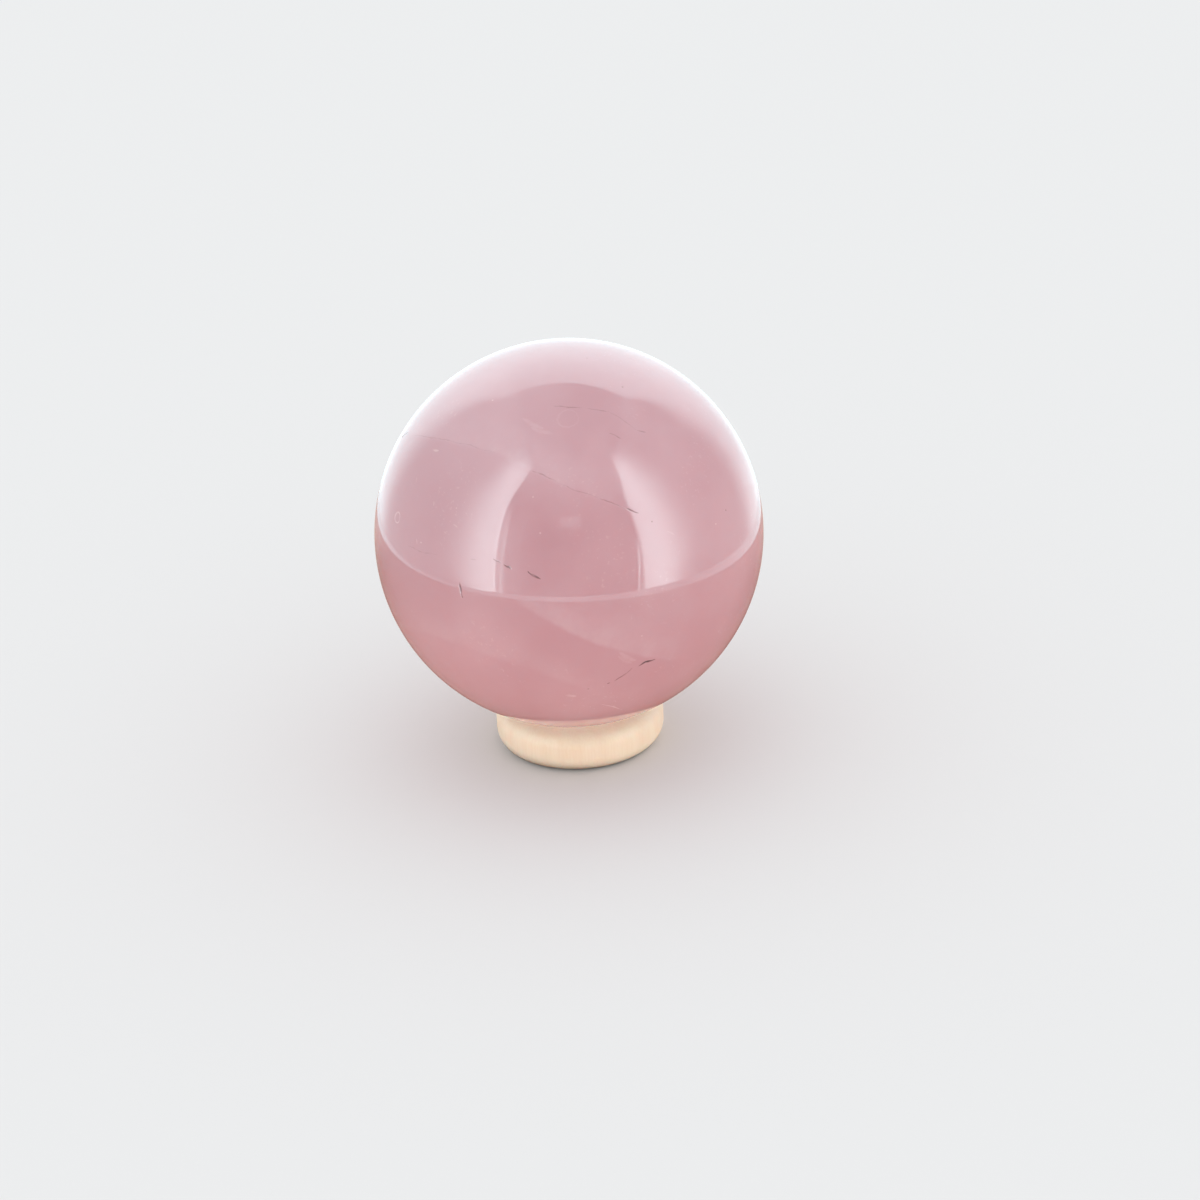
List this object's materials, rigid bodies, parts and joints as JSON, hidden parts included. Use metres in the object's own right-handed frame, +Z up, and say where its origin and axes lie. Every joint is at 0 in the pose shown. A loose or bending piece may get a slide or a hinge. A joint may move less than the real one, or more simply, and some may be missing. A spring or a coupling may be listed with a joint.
{
  "type": "rose quartz sphere",
  "caption": "Polished rose quartz ball resting on a small turned pale-wood ring that keeps it from rolling on a desk or shelf.",
  "frame": {"origin": "centre of the ring's foot, on the surface that the part stands on", "axes": "+Z up along the common axis of the ring and the ball; X and Y are level"},
  "size_m": [0.06, 0.06, 0.0654],
  "materials": {
    "rose_quartz": "polished, cloudy and slightly translucent",
    "pale_wood": "fine-grained, sanded satin"
  },
  "bodies": {
    "root": {"quartz_ball": "rose_quartz", "ring_stand": "pale_wood"}
  },
  "joints": []
}
